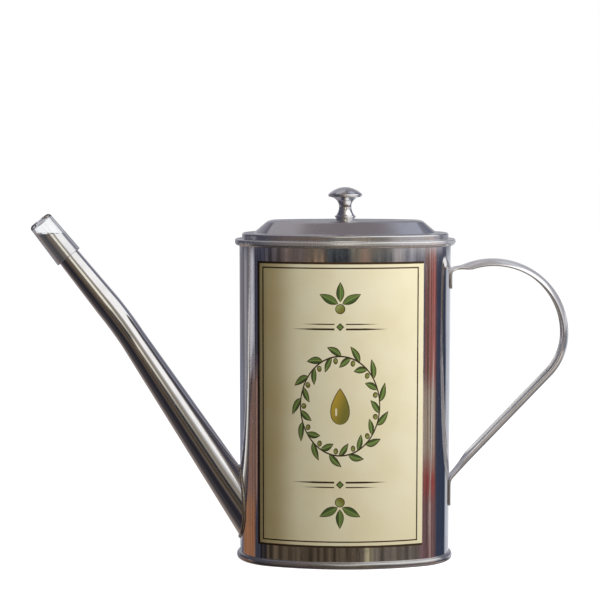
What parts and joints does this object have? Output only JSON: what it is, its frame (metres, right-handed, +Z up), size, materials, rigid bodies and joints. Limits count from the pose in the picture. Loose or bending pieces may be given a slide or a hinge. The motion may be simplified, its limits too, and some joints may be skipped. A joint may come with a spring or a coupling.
{
  "type": "oil can",
  "caption": "Oval sheet-steel oil can with a lift-off knobbed lid, a strap handle and a long bent spout with a pull-off clear cap.",
  "frame": {"origin": "centre of the oval base, on the plane that it stands on", "axes": "+Z up, -X towards the spout, +X towards the handle, -Y towards the label"},
  "size_m": [0.242, 0.054, 0.1684],
  "materials": {
    "polished_steel": "polished, with fine rolling grain and hairline marks",
    "turned_steel": "turned and polished",
    "weld_metal": "heat-tinted filler, wire-brushed",
    "fastener_steel": "plain",
    "label_print": "printed film, satin",
    "clear_plastic": "clear, glossy"
  },
  "bodies": {
    "can": {"body_shell": "polished_steel", "base_plate": "polished_steel", "top_ring": "polished_steel", "label": "label_print", "spout_tube": "polished_steel", "spout_weld": "weld_metal", "handle_strap": "polished_steel"},
    "lid": {"lid_cap": "polished_steel", "lid_knob": "turned_steel", "knob_washer": "fastener_steel", "knob_screw": "fastener_steel"},
    "cap": {"spout_cap": "clear_plastic"}
  },
  "joints": [
    {"name": "lid_lift", "type": "slide", "parent": "can", "child": "lid", "axis": [0, 0, 1], "range_m": [0, 0.06]},
    {"name": "cap_pull", "type": "slide", "parent": "can", "child": "cap", "axis": [-0.6225, 0, 0.7826], "range_m": [0, 0.03]}
  ]
}
